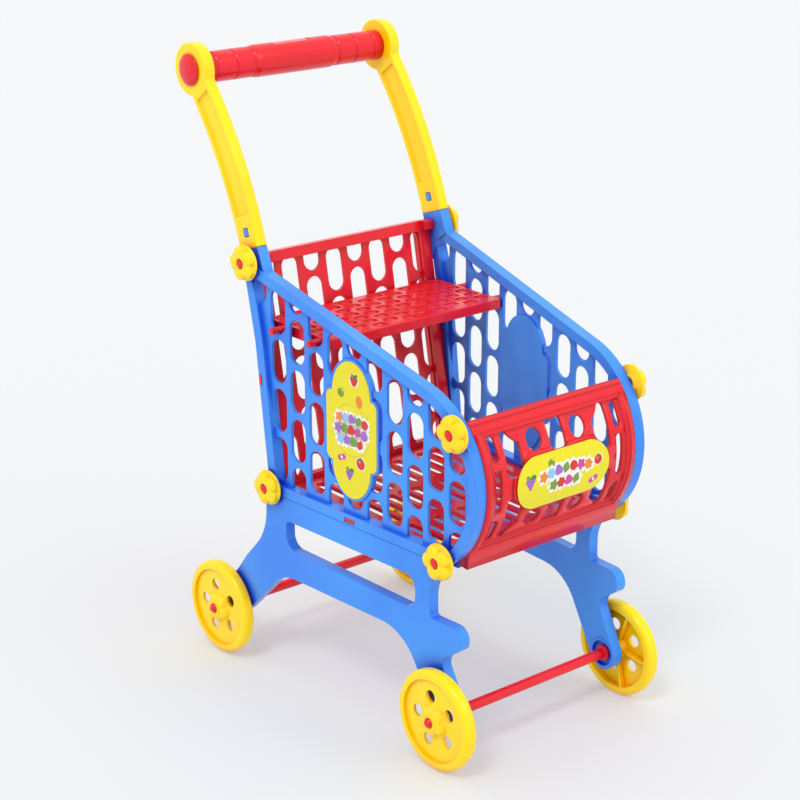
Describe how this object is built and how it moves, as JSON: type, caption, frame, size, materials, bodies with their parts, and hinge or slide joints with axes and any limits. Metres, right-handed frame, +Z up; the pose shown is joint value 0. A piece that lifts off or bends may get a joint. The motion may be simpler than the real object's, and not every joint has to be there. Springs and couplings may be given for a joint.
{
  "type": "toy shopping cart",
  "caption": "Child's plastic shopping cart with slotted basket sides, a rolled front, a seat shelf, a raised handlebar, and wheels pressed on turning axles.",
  "frame": {"origin": "middle of the cart's bounding box, on the floor under the wheels", "axes": "+Z up, -Y towards the rolled front panel, +Y towards the handlebar, +X to the right seen from the front"},
  "size_m": [0.2304, 0.3595, 0.5081],
  "materials": {
    "blue_plastic": "glossy moulded plastic",
    "red_plastic": "glossy moulded plastic",
    "yellow_plastic": "glossy moulded plastic",
    "label": "printed gloss sticker"
  },
  "bodies": {
    "base": {"side_panel_left": "blue_plastic", "side_panel_right": "blue_plastic", "leg_frame_left": "blue_plastic", "leg_frame_right": "blue_plastic", "handle_arm_left": "yellow_plastic", "handle_arm_right": "yellow_plastic", "handlebar": "red_plastic", "handlebar_cap_left": "red_plastic", "handlebar_cap_right": "red_plastic", "front_panel": "red_plastic", "back_panel": "red_plastic", "floor_panel": "red_plastic", "seat_shelf": "red_plastic", "side_label_left": "label", "side_label_right": "label", "front_label": "label", "knob_front_top_left": "yellow_plastic", "knob_front_top_right": "yellow_plastic", "knob_front_bottom_left": "yellow_plastic", "knob_front_bottom_right": "yellow_plastic", "knob_rear_top_left": "yellow_plastic", "knob_rear_top_right": "yellow_plastic", "knob_rear_bottom_left": "yellow_plastic", "knob_rear_bottom_right": "yellow_plastic", "pin_front_top_left": "red_plastic", "pin_front_top_right": "red_plastic", "pin_front_bottom_left": "red_plastic", "pin_front_bottom_right": "red_plastic", "pin_rear_top_left": "red_plastic", "pin_rear_top_right": "red_plastic", "pin_rear_bottom_left": "red_plastic", "pin_rear_bottom_right": "red_plastic"},
    "front_wheelset": {"front_axle": "red_plastic", "front_wheel_left": "yellow_plastic", "front_wheel_right": "yellow_plastic"},
    "rear_wheelset": {"rear_axle": "red_plastic", "rear_wheel_left": "yellow_plastic", "rear_wheel_right": "yellow_plastic"}
  },
  "joints": [
    {"name": "front_wheels_roll", "type": "hinge", "parent": "base", "child": "front_wheelset", "pos_m": [0, -0.14, 0.04], "axis": [1, 0, 0], "continuous": true},
    {"name": "rear_wheels_roll", "type": "hinge", "parent": "base", "child": "rear_wheelset", "pos_m": [0, 0.128, 0.04], "axis": [1, 0, 0], "continuous": true}
  ]
}
